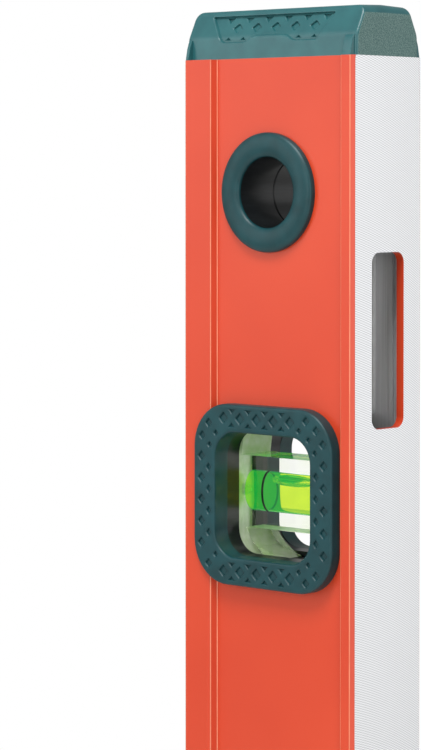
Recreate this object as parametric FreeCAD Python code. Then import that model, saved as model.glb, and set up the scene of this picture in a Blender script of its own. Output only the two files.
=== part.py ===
import FreeCAD, Part
import os

V = FreeCAD.Vector

# Box-section spirit level, standing on its lower end.
# X runs across the wide faces: the lower measuring face is at -X, the face with the reading slots at +X.
# Y runs through the thickness: the front wide face is at -Y.
# Z runs along the length, from the lower end at 0 to the upper end. All lengths are in millimetres.

# Extruded aluminium profile
LENGTH = 600.0            # over both end caps
WIDTH = 60.0              # between the two measuring faces
THICKNESS = 29.0          # over the raised bands of the wide faces
CORNER_CHAMFER = 1.0
LOW_BAND = 10.2           # raised band beside the lower measuring face
HIGH_BAND = 4.1           # raised band beside the face with the slots
WEB_RECESS = 1.8          # how far the web lies below the bands
STEP_RUN = 0.85           # slope of the step between band and web
SIDE_WALL = 1.7
FACE_WALL = 2.4           # wall behind each measuring face
RIB_SETBACK = 6.6         # from the slot face to the guide rib inside each wide wall
RIB_WIDTH = 1.1
RIB_HEIGHT = 0.9

# Reading slots in the +X face
SLOT_LENGTH = 46.3
SLOT_WIDTH = 13.3
SLOT_CORNER = 2.8
MIRROR_SLOT_TOP = 51.4    # from the profile's upper end to the slot's upper edge

# Hanging holes
HOLE_FROM_END = 35.8      # from each profile end
HOLE_OFFSET = -0.3        # from the centre of the wide face
HOLE_RADIUS = 9.5         # clear hole
SLEEVE_WALL = 1.6
SLEEVE_FIT = 0.2          # round the sleeve in the profile, and between its two halves
FLANGE_LAP = 1.9          # how far the sleeve's flange reaches past its barrel
FLANGE_THICKNESS = 0.8
RING_WIDTH = 6.5          # from the clear hole to the ring's outer edge
RING_HEIGHT = 2.3         # above the web

# Vial windows
VIAL_FROM_END = 117.0     # plumb vials, from each profile end
VIAL_OFFSET = -0.1        # from the centre of the wide face
WINDOW_SIZE = 33.6
WINDOW_CORNER = 6.7
BEZEL_BORDER = 7.55       # round the window
BEZEL_CORNER = 12.0
BEZEL_PROUD = 1.75        # above the raised bands
BEZEL_EDGE = 1.0          # rounding of the bezel's outer edge
SKIRT_WALL = 1.7
SKIRT_DEPTH = 5.4         # from the bezel's front face
HOOK_WIDTH = 9.0
HOOK_THICKNESS = 1.4
HOOK_REACH = 0.8          # behind the profile's wall
HOOK_HEIGHT = 1.2
HOUSING_LAP = 3.0         # from the window's edge to the housing's outer wall
HOUSING_CORNER = 8.6
HOUSING_WALL = 1.6
HOUSING_FIT = 0.2         # round the housing and the hooks, and between the two halves
BLOCK_FIT = 0.1           # round the block in the housing

# Vial block and what it holds
BLOCK_THICKNESS = 12.0
BLOCK_CORNER = 6.9
BAR_HALF = 9.8            # half height of the bar that holds the vial
UPPER_GAP_HALF = 16.0     # half width of the light gap above the bar
UPPER_GAP_LEAN = 1.2
LOWER_GAP_RADIUS = 16.0   # round light gap below the bar
LOWER_GAP_SHIFT = 2.7
BORE_RADIUS = 5.5
BORE_LENGTH = 31.0
LINE_SPACING = 17.6       # between the two reading lines
LINE_WIDTH = 0.7
LINE_DEPTH = 0.3
BUBBLE_LENGTH = 15.0
BUBBLE_WIDTH = 8.6
BUBBLE_FLOOR = 1.9        # flat underside, above the vial's axis
BUBBLE_FIT = 0.25         # between the bubble and what is round it
PLUG_RADIUS = 1.6
PLUG_TIP_RADIUS = 0.5
PLUG_TIP_LENGTH = 0.5

# Mirror for reading the upper plumb vial from the slot
MIRROR_ABOVE_VIAL = 51.5  # where the mirror's face crosses the profile's middle plane
MIRROR_THICKNESS = 1.5
MIRROR_SETBACK = 3.3      # from the inside of the lower measuring face to the mirror
MIRROR_REACH = 39.6       # across the profile
BED_THICKNESS = 1.5
CHEEK_THICKNESS = 1.2
CHEEK_CORNER = 2.5
CHEEK_REACH = 1.8         # past the mirror, across the profile
CHEEK_RISE = 1.5          # above the mirror
HOLDER_FIT = 0.1

# End caps
CAP_HEIGHT = 13.5         # outside the profile
CAP_SHOULDERS = ((3.9, 0.8), (5.9, 1.9), (12.0, 5.0))   # height, and depth inside the raised bands
CAP_TOP_DEPTH = 5.8
CAP_LOW_RIB = 2.0
CAP_EDGE = 0.5
CAP_PLUG_DEPTH = 14.0
CAP_PLUG_WALL = 2.0
CAP_PLUG_FIT = 0.15

# Worked out from the sizes above
PROFILE_BOTTOM = CAP_HEIGHT
PROFILE_TOP = LENGTH - CAP_HEIGHT
HALF_WIDTH = WIDTH / 2
HALF_THICKNESS = THICKNESS / 2
WEB_Y = HALF_THICKNESS - WEB_RECESS
CAVITY_X = HALF_WIDTH - FACE_WALL
CAVITY_Y = WEB_Y - SIDE_WALL
RING_RADIUS = HOLE_RADIUS + RING_WIDTH
SLEEVE_RADIUS = HOLE_RADIUS + SLEEVE_WALL
BEZEL_SIZE = WINDOW_SIZE + 2 * BEZEL_BORDER
BEZEL_FACE_Y = HALF_THICKNESS + BEZEL_PROUD
SKIRT_END_Y = BEZEL_FACE_Y - SKIRT_DEPTH
SKIRT_SIZE = WINDOW_SIZE + 2 * SKIRT_WALL
HOUSING_SIZE = WINDOW_SIZE + 2 * HOUSING_LAP
HOUSING_Y = SKIRT_END_Y
OPENING_SIZE = HOUSING_SIZE + 2 * HOUSING_FIT
POCKET_SIZE = HOUSING_SIZE - 2 * HOUSING_WALL
POCKET_Y = BLOCK_THICKNESS / 2 + BLOCK_FIT
BLOCK_SIZE = POCKET_SIZE - 2 * BLOCK_FIT
LINE_RADIUS = BORE_RADIUS + LINE_DEPTH
UPPER_HOLE_Z = PROFILE_TOP - HOLE_FROM_END
LOWER_HOLE_Z = PROFILE_BOTTOM + HOLE_FROM_END
UPPER_VIAL_Z = PROFILE_TOP - VIAL_FROM_END
LOWER_VIAL_Z = PROFILE_BOTTOM + VIAL_FROM_END
CENTRE_VIAL_Z = LENGTH / 2
MIRROR_SLOT_Z = PROFILE_TOP - MIRROR_SLOT_TOP - SLOT_LENGTH / 2
MIRROR_Z = UPPER_VIAL_Z + MIRROR_ABOVE_VIAL
MIRROR_LOW_X = -CAVITY_X + MIRROR_SETBACK
MIRROR_HIGH_X = MIRROR_LOW_X + MIRROR_REACH
BUBBLE_TRAVEL = (BORE_LENGTH - BUBBLE_LENGTH) / 2 - 2 * BUBBLE_FIT


# ---- shapes that several pieces use ----

def box(x0, x1, y0, y1, z0, z1):
    return Part.makeBox(x1 - x0, y1 - y0, z1 - z0, V(x0, y0, z0))


def prism(outline, push):
    """Solid made by pushing a flat outline along a vector."""
    corners = [V(*point) for point in outline]
    return Part.Face(Part.makePolygon(corners + corners[:1])).extrude(V(*push))


def round_bar(radius, x0, x1):
    """Cylinder along X through the origin."""
    return Part.makeCylinder(radius, x1 - x0, V(x0, 0, 0), V(1, 0, 0))


def edges_along(shape, direction):
    """Straight edges that run along a direction."""
    found = []
    for edge in shape.Edges:
        if edge.Curve.TypeId == "Part::GeomLine" and edge.Curve.Direction.cross(direction).Length < 1e-6:
            found.append(edge)
    return found


def round_corner_plate(size, corner, y0, y1):
    """Square plate in the XZ plane with round corners, from y0 to y1."""
    body = box(-size / 2, size / 2, y0, y1, -size / 2, size / 2)
    return body.makeFillet(corner, edges_along(body, V(0, 1, 0)))


def to_rear(shape):
    """The same piece on the rear side of the level."""
    return shape.mirror(V(0, 0, 0), V(0, 1, 0))


def to_lower_end(shape):
    """The same piece at the lower end of the level."""
    return shape.mirror(V(0, 0, LENGTH / 2), V(0, 0, 1))


def to_underside(shape):
    """The same piece below a vial's middle plane."""
    return shape.mirror(V(0, 0, 0), V(0, 0, 1))


# ---- profile ----

def pushed_section(half, z0, z1):
    """Prism along Z of a section that is given by its half at +Y and is the same at -Y."""
    outline = [(x, y, z0) for x, y in half] + [(x, -y, z0) for x, y in reversed(half)]
    return prism(outline, (0, 0, z1 - z0))


def profile_envelope(z0, z1):
    """Outer shape of the extrusion, without its hollow."""
    low_step_x = -HALF_WIDTH + LOW_BAND
    high_step_x = HALF_WIDTH - HIGH_BAND
    half = [
        (-HALF_WIDTH, HALF_THICKNESS - CORNER_CHAMFER),
        (-HALF_WIDTH + CORNER_CHAMFER, HALF_THICKNESS),
        (low_step_x, HALF_THICKNESS),
        (low_step_x + STEP_RUN, WEB_Y),
        (high_step_x - STEP_RUN, WEB_Y),
        (high_step_x, HALF_THICKNESS),
        (HALF_WIDTH - CORNER_CHAMFER, HALF_THICKNESS),
        (HALF_WIDTH, HALF_THICKNESS - CORNER_CHAMFER),
    ]
    return pushed_section(half, z0, z1)


def profile_hollow(z0, z1, gap):
    """Hollow of the extrusion with its guide ribs, drawn smaller by a gap all round."""
    band_y = HALF_THICKNESS - SIDE_WALL - gap
    web_y = CAVITY_Y - gap
    jog_x = -HALF_WIDTH + LOW_BAND - SIDE_WALL - gap
    rib_high_x = HALF_WIDTH - RIB_SETBACK + gap
    rib_low_x = HALF_WIDTH - RIB_SETBACK - RIB_WIDTH - gap
    half = [
        (-CAVITY_X + gap, band_y),
        (jog_x, band_y),
        (jog_x + STEP_RUN, web_y),
        (rib_low_x, web_y),
        (rib_low_x, web_y - RIB_HEIGHT),
        (rib_high_x, web_y - RIB_HEIGHT),
        (rib_high_x, web_y),
        (CAVITY_X - gap, web_y),
    ]
    return pushed_section(half, z0, z1)


def reading_slot(centre_z):
    """What is cut from the +X face for a slot."""
    body = box(CAVITY_X - 1, HALF_WIDTH + 1, -SLOT_WIDTH / 2, SLOT_WIDTH / 2,
               centre_z - SLOT_LENGTH / 2, centre_z + SLOT_LENGTH / 2)
    return body.makeFillet(SLOT_CORNER, edges_along(body, V(1, 0, 0)))


def make_profile():
    body = profile_envelope(PROFILE_BOTTOM, PROFILE_TOP)
    body = body.cut(profile_hollow(PROFILE_BOTTOM, PROFILE_TOP, 0.0))
    for hole_z in (UPPER_HOLE_Z, LOWER_HOLE_Z):
        start = V(HOLE_OFFSET, -THICKNESS, hole_z)
        body = body.cut(Part.makeCylinder(SLEEVE_RADIUS + SLEEVE_FIT, 2 * THICKNESS, start, V(0, 1, 0)))
    opening = round_corner_plate(OPENING_SIZE, HOUSING_CORNER + HOUSING_FIT, -THICKNESS, THICKNESS)
    for vial_z in (UPPER_VIAL_Z, CENTRE_VIAL_Z, LOWER_VIAL_Z):
        body = body.cut(opening.translated(V(VIAL_OFFSET, 0, vial_z)))
    for slot_z in (MIRROR_SLOT_Z, CENTRE_VIAL_Z):
        body = body.cut(reading_slot(slot_z))
    return body


# ---- end caps ----

def cap_slab(x0, x1, depth):
    """Length of cap above z = 0, whose sides start a depth inside the raised bands."""
    half = [(HALF_THICKNESS - depth, 0.0)]
    half += [(HALF_THICKNESS - inset, height) for height, inset in CAP_SHOULDERS if inset > depth]
    half.append((HALF_THICKNESS - CAP_TOP_DEPTH, CAP_HEIGHT))
    outline = [(x0, y, z) for y, z in half] + [(x0, -y, z) for y, z in reversed(half)]
    return prism(outline, (x1 - x0, 0, 0))


def make_upper_cap():
    """Cap with a rib at each corner, and a hollow plug that pushes into the profile."""
    low_rib_x = -HALF_WIDTH + CAP_LOW_RIB
    high_rib_x = HALF_WIDTH - HIGH_BAND
    body = cap_slab(-HALF_WIDTH, HALF_WIDTH, WEB_RECESS)
    body = body.fuse([cap_slab(-HALF_WIDTH, low_rib_x, 0.0), cap_slab(high_rib_x, HALF_WIDTH, 0.0)])
    body = body.removeSplitter()
    top = [edge for edge in body.Edges if edge.BoundBox.ZMin > CAP_HEIGHT - 1e-6]
    body = body.makeFillet(CAP_EDGE, top)
    plug = profile_hollow(-CAP_PLUG_DEPTH, 0.0, CAP_PLUG_FIT)
    hollow_high_x = HALF_WIDTH - RIB_SETBACK - RIB_WIDTH - CAP_PLUG_WALL
    hollow_y = CAVITY_Y - CAP_PLUG_WALL
    plug = plug.cut(box(-CAVITY_X + CAP_PLUG_WALL, hollow_high_x, -hollow_y, hollow_y, -CAP_PLUG_DEPTH, 0))
    return body.fuse(plug).removeSplitter().translated(V(0, 0, PROFILE_TOP))


# ---- hanging holes, built round the hole's axis ----

def make_hole_ring():
    """Front ring with a domed section, moulded over the flange of its sleeve."""
    flange_radius = SLEEVE_RADIUS + FLANGE_LAP
    flange_y = -WEB_Y - FLANGE_THICKNESS
    crown = V(HOLE_RADIUS + RING_WIDTH / 2, -WEB_Y - RING_HEIGHT, 0)
    inner = V(HOLE_RADIUS, flange_y, 0)
    outer = V(RING_RADIUS, flange_y, 0)
    corners = [inner, V(flange_radius, flange_y, 0), V(flange_radius, -WEB_Y, 0),
               V(RING_RADIUS, -WEB_Y, 0), outer]
    sides = [Part.makeLine(start, end) for start, end in zip(corners, corners[1:])]
    section = Part.Wire(sides + [Part.Arc(outer, crown, inner).toShape()])
    return Part.Face(section).revolve(V(0, 0, 0), V(0, 1, 0), 360)


def make_hole_sleeve():
    """Front half of the sleeve, with a flange that lies on the web."""
    start = V(0, -WEB_Y, 0)
    barrel = Part.makeCylinder(SLEEVE_RADIUS, WEB_Y - SLEEVE_FIT / 2, start, V(0, 1, 0))
    flange = Part.makeCylinder(SLEEVE_RADIUS + FLANGE_LAP, FLANGE_THICKNESS, start, V(0, -1, 0))
    clear = Part.makeCylinder(HOLE_RADIUS, 2 * THICKNESS, V(0, -THICKNESS, 0), V(0, 1, 0))
    return barrel.fuse(flange).cut(clear)


# ---- vial units, built round the vial's centre with the vial along X and its reading side up ----

def hook(gap):
    """Barbed arm above the window, with a gap added round it."""
    arm_top = OPENING_SIZE / 2 - HOUSING_FIT
    arm_bottom = arm_top - HOOK_THICKNESS
    end_y = -CAVITY_Y + HOOK_HEIGHT
    arm = box(-HOOK_WIDTH / 2 - gap, HOOK_WIDTH / 2 + gap, -WEB_Y, end_y + gap, arm_bottom - gap, arm_top)
    barb = box(-HOOK_WIDTH / 2 - gap, HOOK_WIDTH / 2 + gap, -CAVITY_Y, end_y, arm_top, arm_top + HOOK_REACH)
    return arm.fuse(barb)


def make_bezel():
    """Front bezel: a square frame on the wide face, with a skirt and two hooks behind it."""
    frame = round_corner_plate(BEZEL_SIZE, BEZEL_CORNER, -BEZEL_FACE_Y, -WEB_Y)
    front = [edge for edge in frame.Edges if edge.BoundBox.YMax < -BEZEL_FACE_Y + 1e-6]
    frame = frame.makeFillet(BEZEL_EDGE, front)
    skirt = round_corner_plate(SKIRT_SIZE, WINDOW_CORNER + SKIRT_WALL, -WEB_Y, -SKIRT_END_Y)
    body = frame.fuse([skirt, hook(0.0), to_underside(hook(0.0))])
    body = body.cut(round_corner_plate(WINDOW_SIZE, WINDOW_CORNER, -BEZEL_FACE_Y, 0.0))
    profile = profile_envelope(-BEZEL_SIZE, BEZEL_SIZE).translated(V(-VIAL_OFFSET, 0, 0))
    opening = round_corner_plate(OPENING_SIZE, HOUSING_CORNER + HOUSING_FIT, -THICKNESS, THICKNESS)
    return body.cut(profile.cut(opening).common(box(-WIDTH, WIDTH, -THICKNESS, -WEB_Y, -WIDTH, WIDTH)))


def make_housing(reads_towards_slot):
    """Front half of the housing that traps the block, open towards its reading side."""
    split_y = -HOUSING_FIT / 2
    body = round_corner_plate(HOUSING_SIZE, HOUSING_CORNER, -HOUSING_Y, split_y)
    body = body.cut(round_corner_plate(WINDOW_SIZE, WINDOW_CORNER, -HOUSING_Y, split_y))
    body = body.cut(round_corner_plate(POCKET_SIZE, BLOCK_CORNER + BLOCK_FIT, -POCKET_Y, split_y))
    light_gap = box(-UPPER_GAP_HALF, UPPER_GAP_HALF, -BLOCK_THICKNESS / 2, split_y, 0, HOUSING_SIZE)
    if reads_towards_slot:
        light_gap = turned_to_slot(light_gap)
    return body.cut([light_gap, hook(HOUSING_FIT), to_underside(hook(HOUSING_FIT))])


def reading_lines(outer, inner):
    """Two rings round the bore."""
    rings = []
    for side in (-1, 1):
        x = side * LINE_SPACING / 2
        ring = round_bar(outer, x - LINE_WIDTH / 2, x + LINE_WIDTH / 2)
        rings.append(ring.cut(round_bar(inner, x - LINE_WIDTH / 2, x + LINE_WIDTH / 2)))
    return rings


def make_filler_plug():
    """Tapered plug in the block's end wall, whose tip closes the bore."""
    bore_x = -BORE_LENGTH / 2
    cone_end = bore_x - PLUG_TIP_LENGTH
    cone_start = -BLOCK_SIZE / 2
    cone = Part.makeCone(PLUG_RADIUS, PLUG_TIP_RADIUS, cone_end - cone_start, V(cone_start, 0, 0), V(1, 0, 0))
    return cone.fuse(round_bar(PLUG_TIP_RADIUS, cone_end, bore_x))


def make_block():
    """Clear block: a bar with the bore in it, between end walls, with a light gap above and below."""
    half = BLOCK_THICKNESS / 2
    body = round_corner_plate(BLOCK_SIZE, BLOCK_CORNER, -half, half)
    top = BLOCK_SIZE / 2
    upper_gap = [(-UPPER_GAP_HALF, -half, BAR_HALF), (-UPPER_GAP_HALF + UPPER_GAP_LEAN, -half, top),
                 (UPPER_GAP_HALF - UPPER_GAP_LEAN, -half, top), (UPPER_GAP_HALF, -half, BAR_HALF)]
    start = V(0, -half, -LOWER_GAP_SHIFT)
    lower_gap = Part.makeCylinder(LOWER_GAP_RADIUS, BLOCK_THICKNESS, start, V(0, 1, 0))
    lower_gap = lower_gap.cut(box(-WIDTH, WIDTH, -half, half, -BAR_HALF, WIDTH))
    bore = round_bar(BORE_RADIUS, -BORE_LENGTH / 2, BORE_LENGTH / 2)
    body = body.cut([prism(upper_gap, (0, BLOCK_THICKNESS, 0)), lower_gap, bore, make_filler_plug()])
    return body.cut(reading_lines(LINE_RADIUS, 0.0))


def bubble_shape(travel_low, travel_high, gap):
    """Bubble under the roof of the bore, stretched over its travel and grown by a gap."""
    half = BUBBLE_WIDTH / 2
    low = travel_low - BUBBLE_LENGTH / 2 + half
    high = travel_high + BUBBLE_LENGTH / 2 - half
    floor = BUBBLE_FLOOR - gap
    plan = box(low, high, -half - gap, half + gap, floor, BORE_RADIUS)
    for x in (low, high):
        plan = plan.fuse(Part.makeCylinder(half + gap, BORE_RADIUS - floor, V(x, 0, floor)))
    roof = round_bar(BORE_RADIUS + gap - BUBBLE_FIT, -BORE_LENGTH / 2, BORE_LENGTH / 2)
    return plan.removeSplitter().common(roof)


def make_liquid(travel_low, travel_high):
    body = round_bar(BORE_RADIUS, -BORE_LENGTH / 2, BORE_LENGTH / 2)
    return body.cut(bubble_shape(travel_low, travel_high, BUBBLE_FIT))


def turned_to_slot(shape):
    """Turned so that the vial stands along Z and its reading side faces the slots."""
    return shape.rotated(V(0, 0, 0), V(0, 1, 0), 90)


def make_vial_unit(reads_towards_slot, bubble_rest):
    """Pieces of one vial by name; the bubble rests at a place along the vial."""
    inner = {
        "block": make_block(),
        "filler_plug": make_filler_plug(),
        "reading_lines": Part.makeCompound(reading_lines(LINE_RADIUS, BORE_RADIUS)),
        "liquid": make_liquid(-BUBBLE_TRAVEL, BUBBLE_TRAVEL),
        "bubble": bubble_shape(bubble_rest, bubble_rest, 0.0),
    }
    if reads_towards_slot:
        inner = {name: turned_to_slot(shape) for name, shape in inner.items()}
    bezel = make_bezel()
    housing = make_housing(reads_towards_slot)
    outer = {
        "front_bezel": bezel,
        "rear_bezel": to_rear(bezel),
        "front_housing": housing,
        "rear_housing": to_rear(housing),
    }
    return {**outer, **inner}


# ---- mirror and its holder ----

def sloping_plate(behind, thickness, low_x, high_x, width):
    """Plate at 45 degrees, whose face lies a distance behind the mirror's face."""
    face = behind / 2 ** 0.5
    back = (behind + thickness) / 2 ** 0.5
    corners = ((low_x, face), (high_x, face), (high_x, back), (low_x, back))
    outline = [(x - shift, -width / 2, x + MIRROR_Z + shift) for x, shift in corners]
    return prism(outline, (0, width, 0))


def make_mirror_holder():
    """Bed behind the mirror, carried by a cheek along the inside of each wide wall."""
    outer_y = CAVITY_Y - HOLDER_FIT
    inner_y = outer_y - CHEEK_THICKNESS
    bottom_z = UPPER_VIAL_Z + OPENING_SIZE / 2 + HOOK_REACH + HOLDER_FIT
    top_z = MIRROR_Z + MIRROR_HIGH_X + CHEEK_RISE
    cheek = box(-CAVITY_X + HOLDER_FIT, MIRROR_HIGH_X + CHEEK_REACH, -outer_y, -inner_y, bottom_z, top_z)
    cheek = cheek.makeFillet(CHEEK_CORNER, edges_along(cheek, V(0, 1, 0)))
    bed = sloping_plate(MIRROR_THICKNESS, BED_THICKNESS, MIRROR_LOW_X, MIRROR_HIGH_X, 2 * inner_y)
    sleeve_room = Part.makeCylinder(SLEEVE_RADIUS + HOLDER_FIT, 2 * THICKNESS,
                                    V(HOLE_OFFSET, -THICKNESS, UPPER_HOLE_Z), V(0, 1, 0))
    return bed.fuse([cheek, to_rear(cheek)]).cut(sleeve_room)


def make_mirror():
    width = 2 * (CAVITY_Y - CHEEK_THICKNESS - 2 * HOLDER_FIT)
    return sloping_plate(0.0, MIRROR_THICKNESS, MIRROR_LOW_X, MIRROR_HIGH_X, width)


# ---- the level ----

def build():
    upper_cap = make_upper_cap()
    pieces = {
        "profile": make_profile(),
        "upper_end_cap": upper_cap,
        "lower_end_cap": to_lower_end(upper_cap),
        "mirror": make_mirror(),
        "mirror_holder": make_mirror_holder(),
    }
    ring = make_hole_ring()
    sleeve = make_hole_sleeve()
    for end, hole_z in (("upper", UPPER_HOLE_Z), ("lower", LOWER_HOLE_Z)):
        place = V(HOLE_OFFSET, 0, hole_z)
        pieces[end + "_hole_front_ring"] = ring.translated(place)
        pieces[end + "_hole_rear_ring"] = to_rear(ring).translated(place)
        pieces[end + "_hole_front_sleeve"] = sleeve.translated(place)
        pieces[end + "_hole_rear_sleeve"] = to_rear(sleeve).translated(place)
    vials = (
        ("upper", UPPER_VIAL_Z, False, 0.0),
        ("centre", CENTRE_VIAL_Z, True, -BUBBLE_TRAVEL),
        ("lower", LOWER_VIAL_Z, False, 0.0),
    )
    for name, vial_z, reads_towards_slot, bubble_rest in vials:
        for piece, shape in make_vial_unit(reads_towards_slot, bubble_rest).items():
            pieces[name + "_vial_" + piece] = shape.translated(V(VIAL_OFFSET, 0, vial_z))
    return pieces


os.makedirs("parts", exist_ok=True)
for node, shape in build().items():
    shape.exportStep("parts/" + node + ".step")
    print(node, len(shape.Solids), shape.isValid(), round(shape.Volume))
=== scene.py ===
import math

import bmesh
import bpy
from mathutils import Matrix, Vector


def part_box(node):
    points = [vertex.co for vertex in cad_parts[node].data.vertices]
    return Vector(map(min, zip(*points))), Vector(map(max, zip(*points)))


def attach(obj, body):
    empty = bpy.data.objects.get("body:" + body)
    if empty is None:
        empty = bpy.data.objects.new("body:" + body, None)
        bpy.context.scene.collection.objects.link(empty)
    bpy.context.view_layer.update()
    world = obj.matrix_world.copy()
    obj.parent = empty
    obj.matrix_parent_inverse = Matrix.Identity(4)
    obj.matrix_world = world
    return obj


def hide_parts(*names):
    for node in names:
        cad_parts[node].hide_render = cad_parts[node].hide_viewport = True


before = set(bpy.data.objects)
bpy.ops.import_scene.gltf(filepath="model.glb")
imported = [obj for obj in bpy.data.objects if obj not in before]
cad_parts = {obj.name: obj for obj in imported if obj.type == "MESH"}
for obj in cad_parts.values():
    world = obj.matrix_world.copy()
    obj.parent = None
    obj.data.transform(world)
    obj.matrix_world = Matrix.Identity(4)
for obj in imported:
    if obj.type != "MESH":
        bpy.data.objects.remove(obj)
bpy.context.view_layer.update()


# ---- Studio ----
# A white room with large soft boxes and a pale floor. The level stands upright on its lower end cap, and
# the camera looks level at its upper part, round towards the face with the reading slots.

MM = 0.001                          # all sizes below are in millimetres unless they say otherwise


def linear(code):
    """Linear colour of an sRGB hex value."""
    channels = [int(code[i:i + 2], 16) / 255 for i in (1, 3, 5)]
    return [c / 12.92 if c <= 0.04045 else ((c + 0.055) / 1.055) ** 2.4 for c in channels] + [1.0]


def add_node(tree, kind, inputs, **settings):
    """Adds a shader node; each input is given a value or another node's output."""
    node = tree.nodes.new("ShaderNode" + kind)
    for name, value in settings.items():
        setattr(node, name, value)
    for key, value in inputs.items():
        if isinstance(value, bpy.types.NodeSocket):
            tree.links.new(value, node.inputs[key])
        else:
            node.inputs[key].default_value = value
    return node


def new_finish(name, **constants):
    """A material, its node tree, its place in millimetres on the object, and its surface shader."""
    material = bpy.data.materials.new(name)
    material.use_nodes = True
    tree = material.node_tree
    shader = tree.nodes["Principled BSDF"]
    for key, value in constants.items():
        shader.inputs[key.replace("_", " ")].default_value = value
    here = tree.nodes.new("ShaderNodeTexCoord").outputs["Object"]
    place = add_node(tree, "Mapping", {"Vector": here, "Scale": (1 / MM, 1 / MM, 1 / MM)}).outputs["Vector"]
    return material, tree, place, shader


def add_soft_box(name, place, aim, width, height, power):
    """Rectangular soft box in metres that faces a point."""
    lamp = bpy.data.lights.new(name, "AREA")
    lamp.shape = "RECTANGLE"
    lamp.size = width
    lamp.size_y = height
    lamp.energy = power
    box = bpy.data.objects.new(name, lamp)
    box.location = place
    box.rotation_euler = (Vector(aim) - Vector(place)).to_track_quat("-Z", "Y").to_euler()
    bpy.context.collection.objects.link(box)


profile_low, profile_high = (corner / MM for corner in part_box("profile"))

VIEW_ANGLE = math.radians(42.43)    # from the front wide face towards the slot face
VIEW_DISTANCE = 754
VIEW_ASIDE = 24.4                   # the level's axis stands this far right of the line of sight
VIEW_DROP = 30.2                    # from the profile's upper end down to the camera
VIEW_PITCH = math.radians(1.25)
camera = bpy.data.objects.new("camera", bpy.data.cameras.new("camera"))
bpy.context.collection.objects.link(camera)
bpy.context.scene.camera = camera
camera.data.lens = 134.35
camera.data.shift_y = -0.190
ahead = Vector((-math.sin(VIEW_ANGLE), math.cos(VIEW_ANGLE), 0))
aside = Vector((math.cos(VIEW_ANGLE), math.sin(VIEW_ANGLE), 0))
camera.location = (-VIEW_DISTANCE * ahead - VIEW_ASIDE * aside) * MM
camera.location.z = (profile_high.z - VIEW_DROP) * MM
camera.rotation_euler = (math.pi / 2 - VIEW_PITCH, 0, VIEW_ANGLE)

bpy.context.scene.view_settings.view_transform = "Standard"
room = bpy.data.worlds.new("white room")
room.use_nodes = True
tree = room.node_tree
path = add_node(tree, "LightPath", {})
seen = add_node(tree, "Math", {0: path.outputs["Is Camera Ray"], 1: path.outputs["Is Transmission Ray"]},
                operation="MAXIMUM")
strength = add_node(tree, "MapRange", {"Value": seen.outputs["Value"], "To Min": 0.42, "To Max": 1.0})
backdrop = tree.nodes["Background"]
backdrop.inputs["Color"].default_value = (1, 1, 1, 1)
tree.links.new(strength.outputs["Result"], backdrop.inputs["Strength"])
bpy.context.scene.world = room

aim = (0, 0, 0.47)
add_soft_box("front_box", (-0.95, -1.15, 0.95), aim, 0.7, 1.1, 4.5)
add_soft_box("strip", (0.10, -1.40, 0.80), aim, 0.25, 1.2, 4)
add_soft_box("side_box", (1.25, 0.95, 0.60), aim, 0.9, 1.3, 4)
add_soft_box("slot_box", (1.15, -0.80, 0.60), aim, 0.35, 0.9, 4.5)
add_soft_box("top_box", (0.22, -0.60, 1.60), aim, 0.45, 0.45, 15)

floor_mesh = bmesh.new()
bmesh.ops.create_circle(floor_mesh, cap_ends=True, segments=96, radius=1.6)
floor_data = bpy.data.meshes.new("floor")
floor_mesh.to_mesh(floor_data)
floor_mesh.free()
floor = bpy.data.objects.new("floor", floor_data)
bpy.context.collection.objects.link(floor)

# Pale matt board: an even, barely grained surface.
board, tree, place, shader = new_finish("matt board", Roughness=0.9)
fibre = add_node(tree, "TexNoise", {"Vector": place, "Scale": 1 / 3.0, "Detail": 4.0})
blend = add_node(tree, "MapRange", {"Value": fibre.outputs["Fac"], "From Min": 0.3, "From Max": 0.7})
shade = add_node(tree, "MixRGB", {"Fac": blend.outputs["Result"], "Color1": linear("#E9E9E7"),
                                  "Color2": linear("#F0F0EE")})
tree.links.new(shade.outputs["Color"], shader.inputs["Base Color"])
floor_data.materials.append(board)


# ---- Profile ----
# An extruded rectangular tube of aluminium, powder-coated orange. Both narrow faces were milled flat after
# coating, which bares the metal. The holes and slots were cut before it, so the coat covers their walls.

WEB_Y = 12.7                        # the wide faces between the two raised bands
SLOT_SIDE = 8                       # further from the middle than any slot's wall
FACE_WALL = 2.4
EDGE_ROUND = 0.45
EDGE_STEPS = 3
SHARP_EDGE = math.radians(25)

# Powder coat: even and satin, with the fine dimples of a baked powder.
powder, tree, place, shader = new_finish("orange powder coat", Roughness=0.36, Specular_IOR_Level=0.5)
dimples = add_node(tree, "TexNoise", {"Vector": place, "Scale": 1 / 0.9, "Detail": 3.0, "Roughness": 0.6})
drift = add_node(tree, "TexNoise", {"Vector": place, "Scale": 1 / 45.0, "Detail": 2.0})
blend = add_node(tree, "MapRange", {"Value": drift.outputs["Fac"], "From Min": 0.35, "From Max": 0.65})
shade = add_node(tree, "MixRGB", {"Fac": blend.outputs["Result"], "Color1": linear("#C23A1A"),
                                  "Color2": linear("#C9401F")})
tree.links.new(shade.outputs["Color"], shader.inputs["Base Color"])
bump = add_node(tree, "Bump", {"Height": dimples.outputs["Fac"], "Strength": 0.10, "Distance": 0.1 * MM})
tree.links.new(bump.outputs["Normal"], shader.inputs["Normal"])

# The same coat on the rounded long edges, coloured paler as a painted highlight, and more glossy.
powder_with_painted_highlight, tree, place, shader = new_finish("powder coat with painted edge highlight", Roughness=0.28,
                                               Specular_IOR_Level=0.6)
drift = add_node(tree, "TexNoise", {"Vector": place, "Scale": 1 / 8.0, "Detail": 3.0})
blend = add_node(tree, "MapRange", {"Value": drift.outputs["Fac"], "From Min": 0.3, "From Max": 0.7})
shade = add_node(tree, "MixRGB", {"Fac": blend.outputs["Result"], "Color1": linear("#D07050"),
                                  "Color2": linear("#DC8464")})
tree.links.new(shade.outputs["Color"], shader.inputs["Base Color"])

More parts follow.
